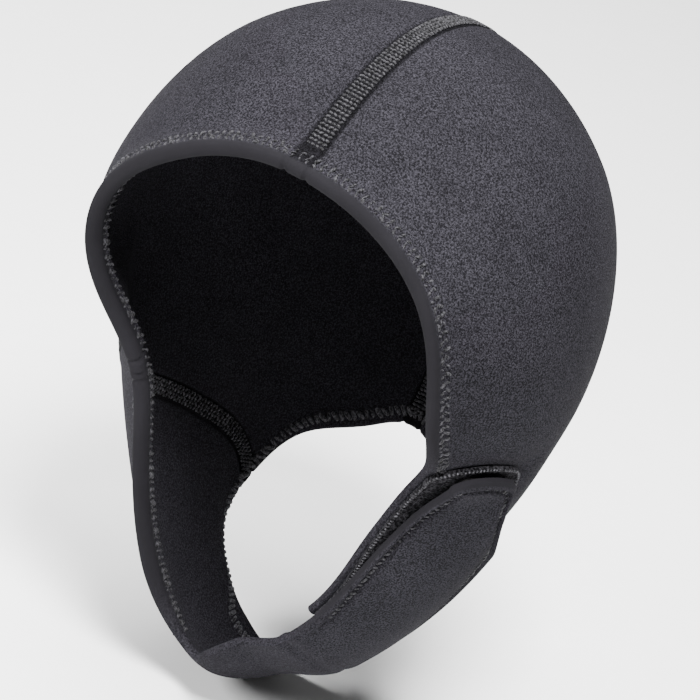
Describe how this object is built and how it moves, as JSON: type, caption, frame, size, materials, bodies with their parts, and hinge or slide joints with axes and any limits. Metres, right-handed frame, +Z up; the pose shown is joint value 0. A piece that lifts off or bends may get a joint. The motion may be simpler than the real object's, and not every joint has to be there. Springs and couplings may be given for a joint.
{
  "type": "diving hood",
  "caption": "Soft neoprene diving hood with an open face, a centre seam over the crown and a chin strap that fastens on the left cheek with a hook-and-loop tab.",
  "frame": {"origin": "the point inside the crown that rests on the top of the wearer's head", "axes": "+Z up to the crown, -Y the way the wearer faces, +X towards the wearer's left ear"},
  "size_m": [0.1579, 0.1589, 0.2362],
  "materials": {
    "neoprene_left": "charcoal black jersey over neoprene foam",
    "neoprene_right": "charcoal black jersey over neoprene foam",
    "neoprene_strap": "charcoal black jersey over neoprene foam",
    "loop_pile": "black brushed loop pile with an overlocked edge",
    "hook_tape": "black hook tape, plain because it is hidden"
  },
  "bodies": {
    "root": {"crown_left": "neoprene_left", "crown_right": "neoprene_right", "chin_strap": "neoprene_strap", "loop_pad": "loop_pile", "hook_pad": "hook_tape"}
  },
  "joints": []
}
